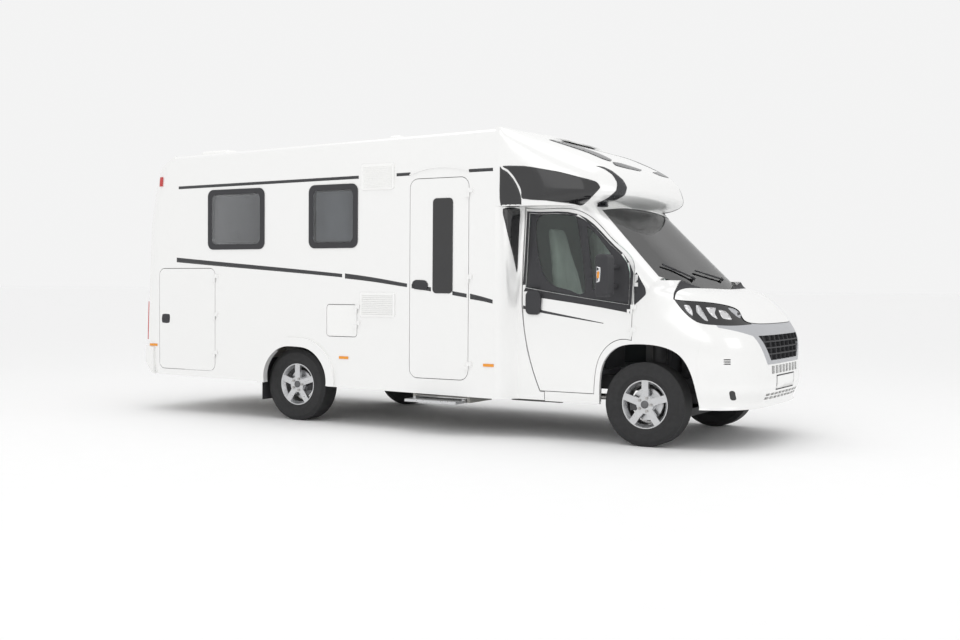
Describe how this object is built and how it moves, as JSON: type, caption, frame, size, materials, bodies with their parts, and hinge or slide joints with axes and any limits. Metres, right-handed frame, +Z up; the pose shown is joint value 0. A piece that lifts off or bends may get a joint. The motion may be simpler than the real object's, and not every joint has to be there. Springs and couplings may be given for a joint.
{
  "type": "motorhome",
  "caption": "Semi-integrated motorhome: van cab with an overhanging hood, a long living box with doors and windows, steered front wheels and a retracting entry step.",
  "frame": {"origin": "on the ground in the middle of the vehicle's length and width", "axes": "+X forward, +Y to the vehicle's left, +Z up"},
  "size_m": [6.953, 2.66, 2.8986],
  "materials": {
    "white_paint": "gloss",
    "white_plastic": "gloss",
    "black_plastic": "matte",
    "grey_plastic": "satin",
    "tyre": "matte",
    "alloy": "satin",
    "chassis": "satin",
    "engine": "rough",
    "steel": "satin",
    "glass": "polished",
    "lamp_glass": "polished",
    "red_lens": "polished",
    "orange_lens": "polished",
    "seat_fabric": "woven",
    "floor_board": "matte"
  },
  "bodies": {
    "coach": {"bed_platform": "floor_board", "cab_floor": "floor_board", "cab_frame": "white_paint", "cab_seats": "seat_fabric", "chassis_frame": "chassis", "cowl_and_wipers": "black_plastic", "dashboard": "black_plastic", "engine_block": "engine", "exhaust": "steel", "front_axle": "chassis", "front_bumper": "white_paint", "front_fenders": "white_paint", "fuel_tank": "black_plastic", "grille_mesh": "black_plastic", "grille_surround": "grey_plastic", "headlamps": "lamp_glass", "house_floor": "floor_board", "mud_flaps": "black_plastic", "overcab_hood": "white_paint", "rear_axle": "chassis", "rear_bumper": "white_paint", "rear_lamps": "red_lens", "rear_moulding": "white_paint", "roof": "white_paint", "roof_hatches": "white_plastic", "side_fairings": "white_paint", "side_markers": "orange_lens", "side_vents": "white_plastic", "skirt_left": "white_paint", "skirt_right": "white_paint", "wall_left": "white_paint", "wall_right": "white_paint", "window_frames": "black_plastic", "window_panes": "glass", "windscreen": "glass"},
    "knuckle_left": {"knuckle_left": "chassis"},
    "knuckle_right": {"knuckle_right": "chassis"},
    "wheel_front_left": {"tyre_front_left": "tyre", "rim_front_left": "alloy"},
    "wheel_front_right": {"tyre_front_right": "tyre", "rim_front_right": "alloy"},
    "wheel_rear_left": {"tyre_rear_left": "tyre", "rim_rear_left": "alloy"},
    "wheel_rear_right": {"tyre_rear_right": "tyre", "rim_rear_right": "alloy"},
    "steering_wheel": {"steering_wheel": "black_plastic"},
    "cab_door_left": {"cab_door_left": "white_paint", "cab_door_glass_left": "glass", "mirror_handle_left": "black_plastic"},
    "cab_door_right": {"cab_door_right": "white_paint", "cab_door_glass_right": "glass", "mirror_handle_right": "black_plastic"},
    "entry_door": {"entry_door": "white_paint", "entry_door_pane": "glass"},
    "garage_door_left": {"garage_door_left": "white_paint"},
    "garage_door_right": {"garage_door_right": "white_paint"},
    "service_flap": {"service_flap": "white_paint"},
    "bonnet": {"bonnet": "white_paint"},
    "entry_step": {"entry_step": "black_plastic"}
  },
  "joints": [
    {"name": "steer_left", "type": "hinge", "parent": "coach", "child": "knuckle_left", "pos_m": [2.532, 0.838, 0.365], "axis": [0, 0, 1], "range_deg": [-35, 35]},
    {"name": "steer_right", "type": "hinge", "parent": "coach", "child": "knuckle_right", "pos_m": [2.532, -0.838, 0.365], "axis": [0, 0, 1], "range_deg": [-35, 35]},
    {"name": "steering_wheel_turn", "type": "hinge", "parent": "coach", "child": "steering_wheel", "pos_m": [2.087, 0.47, 1.29], "axis": [-0.4695, 0, 0.8829], "range_deg": [-492, 492]},
    {"name": "spin_front_left", "type": "hinge", "parent": "knuckle_left", "child": "wheel_front_left", "pos_m": [2.532, 0.895, 0.365], "axis": [0, 1, 0], "continuous": true},
    {"name": "spin_front_right", "type": "hinge", "parent": "knuckle_right", "child": "wheel_front_right", "pos_m": [2.532, -0.895, 0.365], "axis": [0, 1, 0], "continuous": true},
    {"name": "spin_rear_left", "type": "hinge", "parent": "coach", "child": "wheel_rear_left", "pos_m": [-1.218, 0.975, 0.365], "axis": [0, 1, 0], "continuous": true},
    {"name": "spin_rear_right", "type": "hinge", "parent": "coach", "child": "wheel_rear_right", "pos_m": [-1.218, -0.975, 0.365], "axis": [0, 1, 0], "continuous": true},
    {"name": "cab_door_right_swing", "type": "hinge", "parent": "coach", "child": "cab_door_right", "pos_m": [2.42, -1.034, 1.1], "axis": [0, 0, 1], "range_deg": [0, 65]},
    {"name": "cab_door_left_swing", "type": "hinge", "parent": "coach", "child": "cab_door_left", "pos_m": [2.42, 1.034, 1.1], "axis": [0, 0, -1], "range_deg": [0, 65]},
    {"name": "entry_door_swing", "type": "hinge", "parent": "coach", "child": "entry_door", "pos_m": [0.863, -1.178, 1.4], "axis": [0, 0, 1], "range_deg": [0, 168]},
    {"name": "garage_door_right_swing", "type": "hinge", "parent": "coach", "child": "garage_door_right", "pos_m": [-2.243, -1.178, 1], "axis": [0, 0, 1], "range_deg": [0, 168]},
    {"name": "garage_door_left_swing", "type": "hinge", "parent": "coach", "child": "garage_door_left", "pos_m": [-2.243, 1.178, 1], "axis": [0, 0, -1], "range_deg": [0, 168]},
    {"name": "service_flap_swing", "type": "hinge", "parent": "coach", "child": "service_flap", "pos_m": [-0.399, -1.178, 1.03], "axis": [0, 0, 1], "range_deg": [0, 120]},
    {"name": "bonnet_lift", "type": "hinge", "parent": "coach", "child": "bonnet", "pos_m": [2.772, 0, 1.4], "axis": [0, -1, 0], "range_deg": [0, 52]},
    {"name": "entry_step_slide", "type": "slide", "parent": "coach", "child": "entry_step", "axis": [0, 1, 0], "range_m": [0, 0.25]}
  ],
  "couplings": [
    {"joint": "steer_right", "follows": "steer_left", "ratio": 1},
    {"joint": "steering_wheel_turn", "follows": "steer_left", "ratio": 14}
  ]
}
